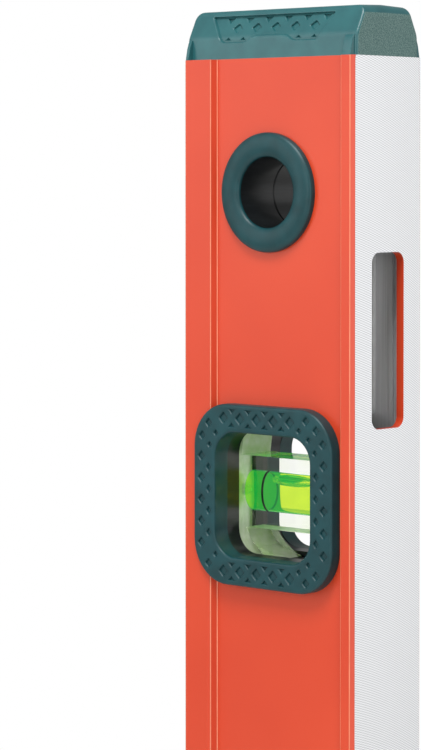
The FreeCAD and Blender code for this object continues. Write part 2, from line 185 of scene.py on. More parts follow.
# Milled aluminium: a bright face under two families of cutter arcs that cross, because a large cutter
# marks the metal with its front and its back edge. The real feed of about 0.2 is too fine to show.
CUTTER_RADIUS = 114
CUTTER_ASIDE = -44
CUTTER_FEED = 0.62
milled, tree, place, shader = new_finish("milled aluminium", Metallic=1.0, Roughness=0.34)
spot = add_node(tree, "SeparateXYZ", {"Vector": place}).outputs
across = add_node(tree, "Math", {0: spot["Y"], 1: CUTTER_ASIDE}, operation="SUBTRACT").outputs["Value"]
square = add_node(tree, "Math", {0: across, 1: across}, operation="MULTIPLY").outputs["Value"]
rest = add_node(tree, "Math", {0: CUTTER_RADIUS ** 2, 1: square}, operation="SUBTRACT").outputs["Value"]
sweep = add_node(tree, "Math", {0: rest}, operation="SQRT").outputs["Value"]
marks = []
for way in ("SUBTRACT", "ADD"):
    along = add_node(tree, "Math", {0: spot["Z"], 1: sweep}, operation=way).outputs["Value"]
    turns = add_node(tree, "Math", {0: along, 1: math.tau / CUTTER_FEED}, operation="MULTIPLY")
    marks.append(add_node(tree, "Math", {0: turns.outputs["Value"]}, operation="SINE").outputs["Value"])
patch = add_node(tree, "TexNoise", {"Vector": place, "Scale": 1 / 14.0, "Detail": 2.0}).outputs["Fac"]
faint = add_node(tree, "Math", {0: marks[1], 1: patch}, operation="MULTIPLY").outputs["Value"]
weave = add_node(tree, "Math", {0: marks[0], 1: faint}, operation="ADD").outputs["Value"]
height = add_node(tree, "MapRange", {"Value": weave, "From Min": -1.5, "From Max": 1.5}).outputs["Result"]
blend = add_node(tree, "MapRange", {"Value": height, "From Min": 0.15, "From Max": 0.85})
shade = add_node(tree, "MixRGB", {"Fac": blend.outputs["Result"], "Color1": linear("#C9CACC"),
                                  "Color2": linear("#F2F3F5")})
tree.links.new(shade.outputs["Color"], shader.inputs["Base Color"])
bump = add_node(tree, "Bump", {"Height": height, "Strength": 0.25, "Distance": 0.05 * MM})
tree.links.new(bump.outputs["Normal"], shader.inputs["Normal"])

# Bare extruded aluminium inside: grey, with die lines along its length.
bare, tree, place, shader = new_finish("bare extruded aluminium", Metallic=0.3, Roughness=0.45)
drawn = add_node(tree, "Mapping", {"Vector": place, "Scale": (1, 1, 0.01)})
lines = add_node(tree, "TexNoise", {"Vector": drawn.outputs["Vector"], "Scale": 1 / 0.5, "Detail": 3.0})
blend = add_node(tree, "MapRange", {"Value": lines.outputs["Fac"], "From Min": 0.3, "From Max": 0.7})
shade = add_node(tree, "MixRGB", {"Fac": blend.outputs["Result"], "Color1": linear("#BFC0C2"),
                                  "Color2": linear("#D6D7D9")})
tree.links.new(shade.outputs["Color"], shader.inputs["Base Color"])
bump = add_node(tree, "Bump", {"Height": lines.outputs["Fac"], "Strength": 0.2, "Distance": 0.05 * MM})
tree.links.new(bump.outputs["Normal"], shader.inputs["Normal"])


def merged_copy(node):
    """A bmesh copy of a CAD piece in millimetres, with its flat faces whole again."""
    mesh = bmesh.new()
    mesh.from_mesh(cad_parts[node].data)
    bmesh.ops.scale(mesh, vec=(1 / MM,) * 3, verts=mesh.verts)
    bmesh.ops.remove_doubles(mesh, verts=mesh.verts, dist=0.004)
    bmesh.ops.dissolve_limit(mesh, angle_limit=math.radians(0.5), verts=mesh.verts, edges=mesh.edges)
    return mesh


def finish_piece(mesh, name, finishes, body, replaced=()):
    """Makes a bmesh in millimetres a piece that rides on a body and stands for CAD nodes."""
    bmesh.ops.scale(mesh, vec=(MM,) * 3, verts=mesh.verts)
    data = bpy.data.meshes.new(name)
    mesh.to_mesh(data)
    mesh.free()
    for finish in finishes:
        data.materials.append(finish)
    data.shade_smooth()
    data.set_sharp_from_angle(angle=math.radians(35))
    piece = bpy.data.objects.new(name, data)
    bpy.context.collection.objects.link(piece)
    evened = piece.modifiers.new("even_shading", "WEIGHTED_NORMAL")
    evened.keep_sharp = True
    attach(piece, body)
    if replaced:
        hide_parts(*replaced)
    return piece


def soften(mesh, edges, radius, steps):
    """Rounds edges."""
    return bmesh.ops.bevel(mesh, geom=edges, affect="EDGES", offset=radius, segments=steps, profile=0.5,
                           material=-1, clamp_overlap=True)


tube = merged_copy("profile")
for face in tube.faces:
    centre = face.calc_center_median()
    outward = face.normal.y * math.copysign(1, centre.y)
    if abs(centre.x) > profile_high.x - 0.01:
        face.material_index = 1
    elif outward > 0.3 and abs(centre.y) > WEB_Y - 0.01:
        face.material_index = 0
    elif abs(centre.x) > profile_high.x - FACE_WALL + 0.01 and abs(centre.y) < SLOT_SIDE:
        face.material_index = 0
    else:
        face.material_index = 2
outer_edges = [
    edge for edge in tube.edges
    if edge.is_manifold and edge.calc_face_angle() > SHARP_EDGE
    and any(face.material_index < 2 for face in edge.link_faces)
    and abs(edge.verts[0].co.z - edge.verts[1].co.z) > 100
    and abs(edge.verts[0].co.y) > WEB_Y - 0.01
]
painted_edges = [edge for edge in outer_edges if all(face.material_index == 0 for face in edge.link_faces)]
soften(tube, [edge for edge in outer_edges if edge not in painted_edges], EDGE_ROUND / 3, 2)
# The rounded faces of the coated edges take the paler coat, which is a painted highlight.
for face in soften(tube, painted_edges, EDGE_ROUND, EDGE_STEPS)["faces"]:
    face.material_index = 3
finish_piece(tube, "profile_tube", [powder, milled, bare, powder_with_painted_highlight], "level", ["profile"])


# ---- End caps ----
# One piece of moulded teal plastic each, pushed into the tube's end. The wide faces are smooth round a sunk
# panel with a diamond lattice, and the narrow faces are spark-grained.

CAP_HEIGHT = 13.5
CAP_DEPTHS = ((0.0, 1.8), (5.2, 1.9), (5.9, 2.05), (6.6, 2.35), (12.0, 5.0), (CAP_HEIGHT, 5.8))
RIB_DEPTHS = ((0.0, 0.05), (3.9, 0.8), (5.9, 1.9))      # as above: height, depth inside the raised bands
CAP_LEVELS = (3.0, 4.6, 5.2, 5.9, 6.6, 8.5, 10.0, 12.0)
CAP_EDGE = 0.9                      # rounding between the wide faces and the rest
CAP_ROOF = 12.3                     # where that rounding starts
CAP_CORNER = 1.8
ARC_STEPS = 6
SIDE_SHARES = (0.4, 0)              # rows of points across the narrow faces, as shares of the half thickness
RIBS = ((-30.0, -28.0), (26.1, 30.0))                   # the blocks beside the web, from side to side
RIB_TOP = 5.4
RIB_EDGE = 0.25
PANEL = ((-23.6, 11.9), (-17.6, 4.2), (-9.1, 4.2), (-6.4, 5.9),     # the panel stands on two feet
         (4.8, 5.9), (7.4, 4.2), (16.3, 4.2), (20.6, 11.9))
PANEL_CORNER = 1.0
PANEL_RIM = ((0.14, 0.06), (0.14, 0.24), (0.15, 0.55))  # inset and drop of each step of a rounded rim
LATTICE_PITCH = 6.8
LATTICE_X = 0.1
DIAMOND_Z = 8.3
DIAMOND_HALF = (2.1, 1.65)
DIAMOND_CORNER = 0.55
UPPER_NOTCH_HALF = (2.1, 1.4)       # the cut-off diamonds above the middle row
UPPER_NOTCH_Z = 10.65
LOWER_NOTCH_HALF = (1.47, 0.84)     # those in the panel's feet
LOWER_NOTCH_Z = 5.3
LOWER_NOTCHES = (-15.9, -10.6, 9.0, 14.4)
DIAMOND_RIM = ((0.13, 0.04), (0.13, 0.16), (0.12, 0.45))
LEVEL_STEP = 0.01                   # anything lower counts as lying on the tube's end
FILL_TURN = 0.37
half_thickness = -profile_low.y

# Moulded plastic: satin teal, even, with a slight bloom in its gloss.
TEAL_LOW, TEAL_HIGH = linear("#1F5256"), linear("#275E61")
smooth_teal, tree, place, shader = new_finish("smooth moulded teal plastic", Roughness=0.34)
bloom = add_node(tree, "TexNoise", {"Vector": place, "Scale": 1 / 6.0, "Detail": 4.0}).outputs["Fac"]
blend = add_node(tree, "MapRange", {"Value": bloom, "From Min": 0.3, "From Max": 0.7})
shade = add_node(tree, "MixRGB", {"Fac": blend.outputs["Result"], "Color1": TEAL_LOW,
                                  "Color2": TEAL_HIGH})
tree.links.new(shade.outputs["Color"], shader.inputs["Base Color"])
skin = add_node(tree, "TexNoise", {"Vector": place, "Scale": 1 / 0.4, "Detail": 2.0}).outputs["Fac"]
bump = add_node(tree, "Bump", {"Height": skin, "Strength": 0.08, "Distance": 0.05 * MM})
tree.links.new(bump.outputs["Normal"], shader.inputs["Normal"])

# Spark-grained plastic: a fine sandy texture that scatters the light into pale specks.
GRAIN = 0.28                        # about twice the real grain, which is too fine to show
grained_teal, tree, place, shader = new_finish("spark-grained teal plastic", Roughness=0.5)
grain = add_node(tree, "TexVoronoi", {"Vector": place, "Scale": 1 / GRAIN}).outputs["Distance"]
specks = add_node(tree, "TexNoise", {"Vector": place, "Scale": 1 / GRAIN, "Detail": 3.0}).outputs["Fac"]
blend = add_node(tree, "MapRange", {"Value": specks, "From Min": 0.35, "From Max": 0.75})
shade = add_node(tree, "MixRGB", {"Fac": blend.outputs["Result"], "Color1": linear("#28524F"),
                                  "Color2": linear("#76908B")})
tree.links.new(shade.outputs["Color"], shader.inputs["Base Color"])
bump = add_node(tree, "Bump", {"Height": grain, "Strength": 0.6, "Distance": 0.12 * MM})
tree.links.new(bump.outputs["Normal"], shader.inputs["Normal"])


def depth_at(depths, height):
    """Depth inside the raised bands at a height, on straight runs between the given points."""
    for (low, start), (high, end) in zip(depths, depths[1:]):
        if height <= high:
            return start + (end - start) * (height - low) / (high - low)
    return depths[-1][1]


def whole_face(verts):
    """The face with the most corners of all that meet at some points."""
    return max((face for vert in verts for face in vert.link_faces), key=lambda face: len(face.verts))


def add_shape(mesh, sides, x, z, half_width, half_height, turn, corner):
    """Face in the XZ plane that looks along -Y: a diamond with round corners, or a sharp triangle."""
    stand = Matrix.Rotation(math.pi / 2, 4, "X") @ Matrix.Rotation(turn, 4, "Z")
    size = Matrix.Diagonal((half_width, 1, half_height, 1))
    made = bmesh.ops.create_circle(mesh, cap_ends=True, segments=sides, radius=1,
                                   matrix=Matrix.Translation((x, 0, z)) @ size @ stand)
    if not corner:
        return made["verts"][0].link_faces[0]
    rounded = bmesh.ops.bevel(mesh, geom=made["verts"], affect="VERTICES", offset=corner, segments=3,
                              profile=0.5, material=-1)
    return whole_face(rounded["verts"])


def fill_flat(mesh, edges):
    """Fills between outlines in the XZ plane, turned while it fills, as aligned corners confuse it."""
    verts = list({vert for edge in edges for vert in edge.verts})
    bmesh.ops.rotate(mesh, matrix=Matrix.Rotation(FILL_TURN, 3, "Y"), verts=verts)
    bmesh.ops.triangle_fill(mesh, use_beauty=True, edges=edges, normal=(0, -1, 0))
    bmesh.ops.rotate(mesh, matrix=Matrix.Rotation(-FILL_TURN, 3, "Y"), verts=verts)


def sink(mesh, faces, steps):
    """Sinks faces in steps, each an inset and a drop, so that their rims are round."""
    for inset, drop in steps:
        bmesh.ops.inset_individual(mesh, faces=faces, thickness=inset, depth=-drop, use_even_offset=True)


def cut_at(mesh, point, normal):
    bmesh.ops.bisect_plane(mesh, geom=mesh.verts[:] + mesh.edges[:] + mesh.faces[:], plane_co=point,
                           plane_no=normal, dist=0.0005)


def make_panel(mesh):
    """The sunk panel with its lattice of pits, still flat. Returns the panel's outline."""
    corners = [mesh.verts.new((x, 0, z)) for x, z in PANEL]
    mesh.faces.new(corners)
    bmesh.ops.bevel(mesh, geom=corners, affect="VERTICES", offset=PANEL_CORNER, segments=3, profile=0.5,
                    material=-1)
    panel = mesh.faces[:][0]
    panel.normal_update()
    if panel.normal.y > 0:
        panel.normal_flip()
    sink(mesh, [panel], PANEL_RIM)
    floor_y = panel.verts[0].co.y
    floor_rim = list(panel.edges)
    bmesh.ops.delete(mesh, geom=[panel], context="FACES_ONLY")
    panel_rim = [edge for edge in mesh.edges if edge.is_boundary and edge not in floor_rim]
    pits = []
    for column in range(-2, 3):
        x = LATTICE_X + column * LATTICE_PITCH
        pits.append(add_shape(mesh, 4, x, DIAMOND_Z, *DIAMOND_HALF, 0, DIAMOND_CORNER))
    for column in range(-3, 3):
        x = LATTICE_X + (column + 0.5) * LATTICE_PITCH
        pits.append(add_shape(mesh, 3, x, UPPER_NOTCH_Z, *UPPER_NOTCH_HALF, math.pi, 0))
    for x in LOWER_NOTCHES:
        pits.append(add_shape(mesh, 3, x, LOWER_NOTCH_Z, *LOWER_NOTCH_HALF, 0, 0))
    for vert in {vert for pit in pits for vert in pit.verts}:
        vert.co.y = floor_y
    fill_flat(mesh, floor_rim + list({edge for pit in pits for edge in pit.edges}))
    sink(mesh, pits, DIAMOND_RIM)
    return panel_rim


def cap_outline(half_width):
    """Points of the wide face's outline, with round upper corners."""
    turns = [math.pi / 2 * step / ARC_STEPS for step in range(ARC_STEPS + 1)]
    arc = [(half_width - CAP_CORNER * (1 - math.cos(turn)), CAP_ROOF - CAP_CORNER * (1 - math.sin(turn)))
           for turn in turns]
    return [(half_width, 0)] + arc + [(-x, z) for x, z in reversed(arc)] + [(-half_width, 0)]


def raise_ribs(mesh):
    """Lifts the blocks beside the web, then bends the flat face and the blocks back to their depths."""
    ribs = [face for face in mesh.faces if face.calc_center_median().z < RIB_TOP
            and any(low < face.calc_center_median().x < high for low, high in RIBS)]
    lifted = bmesh.ops.extrude_face_region(mesh, geom=ribs)
    lifted = {vert for vert in lifted["geom"] if isinstance(vert, bmesh.types.BMVert)}
    bmesh.ops.delete(mesh, geom=[face for face in ribs if face.is_valid], context="FACES_ONLY")
    rib_edges = [edge for edge in mesh.edges if sum(vert in lifted for vert in edge.verts) == 2
                 and sum(all(vert in lifted for vert in face.verts) for face in edge.link_faces) == 1]
    for vert in mesh.verts:
        depths = RIB_DEPTHS if vert in lifted else CAP_DEPTHS
        vert.co.y += depth_at(depths, vert.co.z) - half_thickness
    return rib_edges


def wrap_to_middle(mesh, half_width):
    """Pulls the wide face's outline round the cap's edge and across the narrow faces to mid-thickness."""
    ends = [edge for edge in mesh.edges if edge.is_boundary]
    turns = [math.pi / 2 * step / ARC_STEPS for step in range(2, ARC_STEPS + 1, 2)]
    steps = [(math.sin(turn), 1 - math.cos(turn), 1) for turn in turns]
    steps += [(1, 1, share) for share in SIDE_SHARES]
    base = {vert: vert.co.copy() for edge in ends for vert in edge.verts}
    for out, back, share in steps:
        made = bmesh.ops.extrude_edge_only(mesh, edges=ends)["geom"]
        moved = {vert for vert in made if isinstance(vert, bmesh.types.BMVert)}
        source = {}
        for edge in mesh.edges:
            near, far = edge.verts
            if (near in moved) != (far in moved):
                if far in moved:
                    near, far = far, near
                source[near] = base[far]
        base = source
        ends = [edge for edge in made
                if isinstance(edge, bmesh.types.BMEdge) and moved.issuperset(edge.verts)]
        for vert in moved:
            start = base[vert]
            inner_x = max(min(start.x, half_width - CAP_CORNER), CAP_CORNER - half_width)
            inner_z = min(start.z, CAP_ROOF - CAP_CORNER)
            away = Vector((start.x - inner_x, 0, start.z - inner_z))
            if start.z < LEVEL_STEP:
                away.z = 0
            away.normalize()
            vert.co = start + away * CAP_EDGE * out
            vert.co.z += (CAP_HEIGHT - CAP_ROOF - CAP_EDGE) * (1 - share) * away.z
            vert.co.y = (start.y + CAP_EDGE * back) * share


def make_cap():
    """The upper cap, with height 0 at the tube's end."""
    mesh = bmesh.new()
    panel_rim = make_panel(mesh)
    half_width = profile_high.x - CAP_EDGE
    outline = [mesh.verts.new((x, 0, z)) for x, z in cap_outline(half_width)]
    outer = [mesh.edges.new((outline[i - 1], outline[i])) for i in range(len(outline))]
    fill_flat(mesh, panel_rim + outer)
    for low, high in RIBS:
        for x in (low, high):
            cut_at(mesh, (x, 0, 0), (1, 0, 0))
    for height in CAP_LEVELS + (RIB_TOP,):
        cut_at(mesh, (0, 0, height), (0, 0, 1))
    rib_edges = raise_ribs(mesh)
    wrap_to_middle(mesh, half_width)
    standing = [edge for edge in rib_edges if edge.is_valid
                and max(vert.co.z for vert in edge.verts) > LEVEL_STEP]
    soften(mesh, standing, RIB_EDGE, 2)
    bmesh.ops.mirror(mesh, geom=mesh.verts[:] + mesh.edges[:] + mesh.faces[:], merge_dist=0.001, axis="Y")
    bmesh.ops.remove_doubles(mesh, verts=mesh.verts, dist=0.002)
    bmesh.ops.recalc_face_normals(mesh, faces=mesh.faces)
    for face in mesh.faces:
        if abs(face.normal.x) > 0.8 and abs(face.calc_center_median().x) > profile_high.x - 0.2:
            face.material_index = 1
    return mesh


for name, end_z, way in (("upper_end_cap", profile_high.z, 1), ("lower_end_cap", profile_low.z, -1)):
    cap = make_cap()
    bmesh.ops.scale(cap, vec=(1, 1, way), verts=cap.verts)
    bmesh.ops.translate(cap, vec=(0, 0, end_z), verts=cap.verts)
    bmesh.ops.recalc_face_normals(cap, faces=cap.faces)
    finish_piece(cap, name + "_moulding", [smooth_teal, grained_teal], "level", [name])


# ---- Hanging holes ----
# Two black sleeves push in from each side and meet at mid-thickness; their flanges lie on the wide faces. A
# domed ring of teal rubber is moulded over each flange.

RING_STEPS = 128
FLANGE_LIFT = 0.8                   # the domed part starts this far above the web
SEAM_ROUND = 0.25
HOLE_CLEAR = 9.5                    # radii of the clear way and of the sleeve's barrel
SLEEVE_BARREL = 11.1
LAP = 0.02                          # keeps touching faces of ring and sleeve from lying in one plane

rubber, tree, place, shader = new_finish("teal soft rubber", Roughness=0.42, Specular_IOR_Level=0.35)
bloom = add_node(tree, "TexNoise", {"Vector": place, "Scale": 1 / 5.0, "Detail": 4.0}).outputs["Fac"]
blend = add_node(tree, "MapRange", {"Value": bloom, "From Min": 0.3, "From Max": 0.7})
shade = add_node(tree, "MixRGB", {"Fac": blend.outputs["Result"], "Color1": linear("#0A3337"),
                                  "Color2": linear("#0F3F44")})
tree.links.new(shade.outputs["Color"], shader.inputs["Base Color"])
pores = add_node(tree, "TexNoise", {"Vector": place, "Scale": 1 / 0.35, "Detail": 3.0}).outputs["Fac"]
bump = add_node(tree, "Bump", {"Height": pores, "Strength": 0.12, "Distance": 0.06 * MM})
tree.links.new(bump.outputs["Normal"], shader.inputs["Normal"])

# Moulded black plastic: glossy, with fine marks along the draw of the mould.
black, tree, place, shader = new_finish("glossy black plastic", Roughness=0.28, Specular_IOR_Level=0.35)
drawn = add_node(tree, "Mapping", {"Vector": place, "Scale": (1, 0.06, 1)}).outputs["Vector"]
marks = add_node(tree, "TexNoise", {"Vector": drawn, "Scale": 1 / 0.4, "Detail": 3.0}).outputs["Fac"]
blend = add_node(tree, "MapRange", {"Value": marks, "From Min": 0.3, "From Max": 0.7})
shade = add_node(tree, "MixRGB", {"Fac": blend.outputs["Result"], "Color1": linear("#0B0E10"),
                                  "Color2": linear("#171B1D")})
tree.links.new(shade.outputs["Color"], shader.inputs["Base Color"])
bump = add_node(tree, "Bump", {"Height": marks, "Strength": 0.25, "Distance": 0.05 * MM})
tree.links.new(bump.outputs["Normal"], shader.inputs["Normal"])


def spin_section(points, x, z):
    """Solid of revolution about an axis along Y, from its closed section as (radius, y)."""
    mesh = bmesh.new()
    verts = [mesh.verts.new((x + radius, y, z)) for radius, y in points]
    edges = [mesh.edges.new((verts[i - 1], verts[i])) for i in range(len(verts))]
    bmesh.ops.spin(mesh, geom=verts + edges, cent=(x, 0, z), axis=(0, 1, 0), angle=math.tau,
                   steps=RING_STEPS, use_merge=True)
    bmesh.ops.recalc_face_normals(mesh, faces=mesh.faces)
    return mesh


for end in ("upper", "lower"):
    for side, way in (("front", -1), ("rear", 1)):
        ring_low, ring_high = (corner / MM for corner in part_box(f"{end}_hole_{side}_ring"))
        sleeve_low, sleeve_high = (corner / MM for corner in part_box(f"{end}_hole_{side}_sleeve"))
        centre_x = (ring_low.x + ring_high.x) / 2
        centre_z = (ring_low.z + ring_high.z) / 2
        outer = (ring_high.x - ring_low.x) / 2
        flange = (sleeve_high.x - sleeve_low.x) / 2
        face_y = max(abs(ring_low.y), abs(ring_high.y))
        seam_y = min(abs(sleeve_low.y), abs(sleeve_high.y))
        middle = (HOLE_CLEAR + outer) / 2
        half = (outer - HOLE_CLEAR) / 2
        base = WEB_Y + FLANGE_LIFT
        dome = [(middle + half * math.cos(turn), way * (base + (face_y - base) * math.sin(turn) ** 0.8))
                for turn in (math.pi * step / 16 for step in range(17))]
        section = dome + [(flange, way * base), (flange, way * WEB_Y), (outer, way * WEB_Y)]
        ring = spin_section(section, centre_x, centre_z)
        finish_piece(ring, f"{end}_hole_{side}_rubber_ring", [rubber], "level",
                     [f"{end}_hole_{side}_ring"])
        section = [(HOLE_CLEAR, way * (base - LAP)), (HOLE_CLEAR, way * (seam_y + SEAM_ROUND)),
                   (HOLE_CLEAR + SEAM_ROUND, way * seam_y), (SLEEVE_BARREL, way * seam_y),
                   (SLEEVE_BARREL, way * WEB_Y), (flange - LAP, way * WEB_Y),
                   (flange - LAP, way * (base - LAP))]
        sleeve = spin_section(section, centre_x, centre_z)
        finish_piece(sleeve, f"{end}_hole_{side}_black_sleeve", [black], "level",
                     [f"{end}_hole_{side}_sleeve"])


# ---- Vial bezels ----
# A square frame of teal rubber on each side of each vial. Its face is sunk with rows of diamonds, whose rims
# catch the light, and a skirt behind it snaps into the vial's housing.

WINDOW_SIZE = 33.6
WINDOW_CORNER = 6.7
BEZEL_CORNER = 12.0
BEZEL_EDGE = 0.7
WINDOW_EDGE = 0.6
SKIRT_WALL = 1.7
SKIRT_DEPTH = 5.4
LOW_BAND_X = -19.8                  # the bezel's low side lies on the raised band up to here
ROUND_STEPS = 4
PIT_PITCH = 5.87
PIT_START = 9.9
PIT_COUNT = 5
BAND_MIDDLE = 20.6                  # of the top and the bottom band of pits
FULL_PIT = (2.1, 2.1)
NOTCH_PIT = (2.0, 1.25)
NOTCH_OUT = 22.62
NOTCH_IN = 18.62
OUTER_COLUMN = 21.6
OUTER_PIT = (1.8, 1.85)
INNER_COLUMN = 18.95
INNER_PIT = (1.4, 1.65)
CORNER_PITS = ((15.5, 21.3), (19.0, 19.0), (21.3, 15.5))
CORNER_PIT = (1.7, 1.7)
INNER_CORNER_PITS = ((13.1, 18.6), (16.4, 16.4), (18.6, 13.1))
INNER_CORNER_PIT = (1.3, 1.3)
PIT_GAP = 0.5                       # least rib between a corner's pit and the last of a row
PIT_RIM = ((0.10, 0.03), (0.14, 0.12), (0.14, 0.20), (0.06, 0.30))


def add_outline(mesh, size, corner, y):
    """Square outline with round corners in the XZ plane, centred."""
    stand = Matrix.Rotation(math.pi / 2, 4, "X")
    made = bmesh.ops.create_grid(mesh, x_segments=1, y_segments=1, size=size / 2,
                                 matrix=Matrix.Translation((0, y, 0)) @ stand)
    rounded = bmesh.ops.bevel(mesh, geom=made["verts"], affect="VERTICES", offset=corner, segments=12,
                              profile=0.5, material=-1)
    face = whole_face(rounded["verts"])
    edges = list(face.edges)
    bmesh.ops.delete(mesh, geom=[face], context="FACES_ONLY")
    return edges


def extrude_loop(mesh, edges, scale, y):
    """Pulls a closed outline to a new depth, and scales it about the Y axis."""
    made = bmesh.ops.extrude_edge_only(mesh, edges=edges)["geom"]
    verts = [vert for vert in made if isinstance(vert, bmesh.types.BMVert)]
    for vert in verts:
        vert.co.x *= scale
        vert.co.z *= scale
        vert.co.y = y
    return [edge for edge in made if isinstance(edge, bmesh.types.BMEdge)
            and all(vert in verts for vert in edge.verts)]


def bezel_pits(mesh, face_y):
    """The flat faces of all the pits of a bezel."""
    steps = [PIT_START - PIT_PITCH * step for step in range(PIT_COUNT)]
    rows = [(step, way * BAND_MIDDLE, FULL_PIT) for way in (1, -1) for step in steps]
    rows += [(way * OUTER_COLUMN, step, OUTER_PIT) for way in (1, -1) for step in steps]
    corners = []
    for way_x, way_z in ((1, 1), (-1, 1), (1, -1), (-1, -1)):
        corners += [(way_x * x, way_z * z, CORNER_PIT) for x, z in CORNER_PITS]
        corners += [(way_x * x, way_z * z, INNER_CORNER_PIT) for x, z in INNER_CORNER_PITS]
    corners = [(x, z, size) for x, z, size in corners
               if all(abs(x - other_x) + abs(z - other_z) > size[0] + other[0] + PIT_GAP
                      for other_x, other_z, other in rows)]
    rows += [(way * INNER_COLUMN, step + PIT_PITCH / 2, INNER_PIT) for way in (1, -1) for step in steps[1:]]
    pits = [add_shape(mesh, 4, x, z, *size, 0, 0.55) for x, z, size in rows + corners]
    for step in steps[1:]:
        middle = step + PIT_PITCH / 2
        for z, turn in ((NOTCH_OUT, math.pi), (NOTCH_IN, 0), (-NOTCH_IN, math.pi), (-NOTCH_OUT, 0)):
            pits.append(add_shape(mesh, 3, middle, z, *NOTCH_PIT, turn, 0))
    for pit in pits:
        for vert in pit.verts:
            vert.co.y = face_y
    return pits


def make_bezel(size, face_y):
    """The front bezel, centred on its window."""
    mesh = bmesh.new()
    pits = bezel_pits(mesh, face_y)
    pit_edges = [edge for pit in pits for edge in pit.edges]
    outer = add_outline(mesh, size - 2 * BEZEL_EDGE, BEZEL_CORNER - BEZEL_EDGE, face_y)
    inner = add_outline(mesh, WINDOW_SIZE + 2 * WINDOW_EDGE, WINDOW_CORNER + WINDOW_EDGE, face_y)
    fill_flat(mesh, pit_edges + outer + inner)
    loops = [set(pit.verts) for pit in pits] + [{vert for edge in inner for vert in edge.verts}]
    stray = [face for face in mesh.faces
             if face not in pits and any(loop.issuperset(face.verts) for loop in loops)]
    bmesh.ops.delete(mesh, geom=stray, context="FACES_ONLY")
    sink(mesh, pits, PIT_RIM)
    turns = [math.pi / 2 * step / ROUND_STEPS for step in range(1, ROUND_STEPS + 1)]
    half = size / 2 - BEZEL_EDGE
    for turn in turns:
        wider = size / 2 - BEZEL_EDGE + BEZEL_EDGE * math.sin(turn)
        outer = extrude_loop(mesh, outer, wider / half, face_y + BEZEL_EDGE * (1 - math.cos(turn)))
        half = wider
    outer = extrude_loop(mesh, outer, 1, -half_thickness - 0.02)
    half = WINDOW_SIZE / 2 + WINDOW_EDGE
    for turn in turns:
        narrower = WINDOW_SIZE / 2 + WINDOW_EDGE - WINDOW_EDGE * math.sin(turn)
        inner = extrude_loop(mesh, inner, narrower / half, face_y + WINDOW_EDGE * (1 - math.cos(turn)))
        half = narrower
    inner = extrude_loop(mesh, inner, 1, face_y + SKIRT_DEPTH)
    inner = extrude_loop(mesh, inner, 1 + 2 * SKIRT_WALL / WINDOW_SIZE, face_y + SKIRT_DEPTH)
    inner = extrude_loop(mesh, inner, 1, -WEB_Y)
    walls = {face for edge in outer for face in edge.link_faces}
    for x in (LOW_BAND_X, LOW_BAND_X + 0.85):
        geom = list(walls) + [e for f in walls for e in f.edges] + [v for f in walls for v in f.verts]
        bmesh.ops.bisect_plane(mesh, geom=list(dict.fromkeys(geom)), plane_co=(x, 0, 0), plane_no=(1, 0, 0),
                               dist=0.0005)
        walls = {face for face in mesh.faces if face.calc_center_median().y > face_y + BEZEL_EDGE
                 and max(abs(face.calc_center_median().x), abs(face.calc_center_median().z)) > size / 2 - 4}
    back = [edge for edge in mesh.edges if edge.is_boundary
            and max(abs(edge.verts[0].co.x), abs(edge.verts[0].co.z)) > size / 2 - 4
            and abs(edge.verts[0].co.y + half_thickness) < 0.1]
    for vert in {vert for edge in back for vert in edge.verts}:
        if vert.co.x > LOW_BAND_X + 0.5:
            vert.co.y = -WEB_Y
    back_rims = [edge for edge in mesh.edges if edge.is_boundary and edge.verts[0].co.y > face_y + 1]
    bmesh.ops.bridge_loops(mesh, edges=back_rims)
    bmesh.ops.recalc_face_normals(mesh, faces=mesh.faces)
    return mesh


for vial in ("upper", "centre", "lower"):
    for side, way in (("front", 1), ("rear", -1)):
        node = f"{vial}_vial_{side}_bezel"
        low, high = (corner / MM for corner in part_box(node))
        bezel = make_bezel(high.z - low.z, -max(abs(low.y), abs(high.y)))
        if side == "rear":
            bmesh.ops.scale(bezel, vec=(1, -1, 1), verts=bezel.verts)
            bmesh.ops.recalc_face_normals(bezel, faces=bezel.faces)
        bmesh.ops.translate(bezel, vec=((low.x + high.x) / 2, 0, (low.z + high.z) / 2), verts=bezel.verts)
        finish_piece(bezel, node + "_frame", [rubber], "level", [node])


# ---- Vial units ----
# A clear acrylic block with a sealed bore of yellow-green spirit, held in a black housing of two halves. The
# bubble floats under the bore's roof; two black rings mark level, and a white plug closes the filling hole.

BLOCK_EDGE = 0.3
BORE_RADIUS = 5.5
BORE_END = 1.2                      # rounding of the bore's ends
LINE_WIDTH = 0.7
LINE_GROOVE = 0.6                   # the bore's widest part, at the lines, is less than this past its wall
ROOF_GAP = 0.25
BUBBLE_PLUMPNESS = 0.9              # 1 is an ellipsoid, less is fuller

# Cast acrylic: clear, polished, with the faintest green tint painted in as light from the spirit's glow.
acrylic, tree, place, shader = new_finish("polished clear acrylic", Roughness=0.0,
                                          Transmission_Weight=1.0, IOR=1.49)
painted_glow_patches = add_node(tree, "TexNoise", {"Vector": place, "Scale": 1 / 12.0, "Detail": 2.0}).outputs["Fac"]
blend = add_node(tree, "MapRange", {"Value": painted_glow_patches, "From Min": 0.3, "From Max": 0.7})
shade = add_node(tree, "MixRGB", {"Fac": blend.outputs["Result"], "Color1": linear("#F4FBE4"),
                                  "Color2": linear("#FFFFFF")})
tree.links.new(shade.outputs["Color"], shader.inputs["Base Color"])
